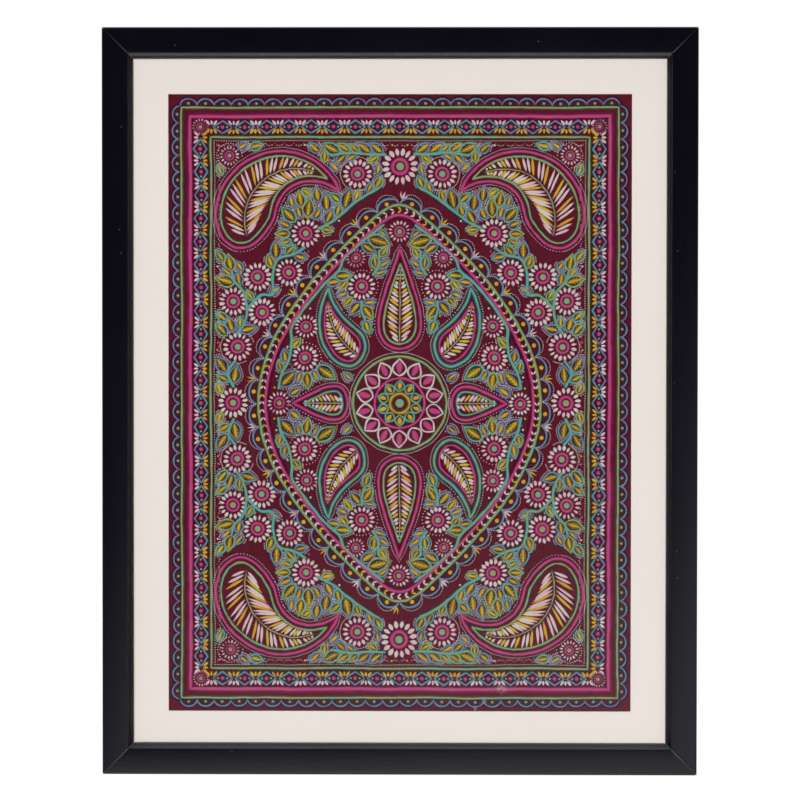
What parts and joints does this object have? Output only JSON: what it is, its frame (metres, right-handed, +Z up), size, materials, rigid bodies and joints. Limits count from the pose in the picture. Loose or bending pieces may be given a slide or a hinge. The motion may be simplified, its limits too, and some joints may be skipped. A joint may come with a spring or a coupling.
{
  "type": "framed rogan painting on cloth with its wooden picture frame",
  "caption": "Upright picture frame of mitred black rails holding glass, a cream mat, a cloth with raised painted lines and a backing board.",
  "frame": {"origin": "middle of the top rail's back face, where the frame hangs against the wall", "axes": "+X across the frame to the right as seen from the front, +Y out of the back into the wall, +Z up; the picture faces -Y"},
  "size_m": [0.3898, 0.022, 0.4894],
  "materials": {
    "frame_lacquer": "satin black lacquer on wood",
    "clear_glass": "clear, polished",
    "cream_board": "matt, faintly toothed",
    "burgundy_cloth": "plain weave, matt",
    "brown_board": "matt fibre board",
    "pink_paint": "raised oil paint, satin",
    "green_paint": "raised oil paint, satin",
    "turquoise_paint": "raised oil paint, satin",
    "blue_paint": "raised oil paint, satin",
    "yellow_paint": "raised oil paint, satin",
    "white_paint": "raised oil paint, satin",
    "oil_halo": "cloth darkened by oil"
  },
  "bodies": {
    "root": {"rail_top": "frame_lacquer", "rail_bottom": "frame_lacquer", "rail_left": "frame_lacquer", "rail_right": "frame_lacquer", "glass_pane": "clear_glass", "window_mat": "cream_board", "painted_cloth": "burgundy_cloth", "backing_board": "brown_board"}
  },
  "joints": []
}
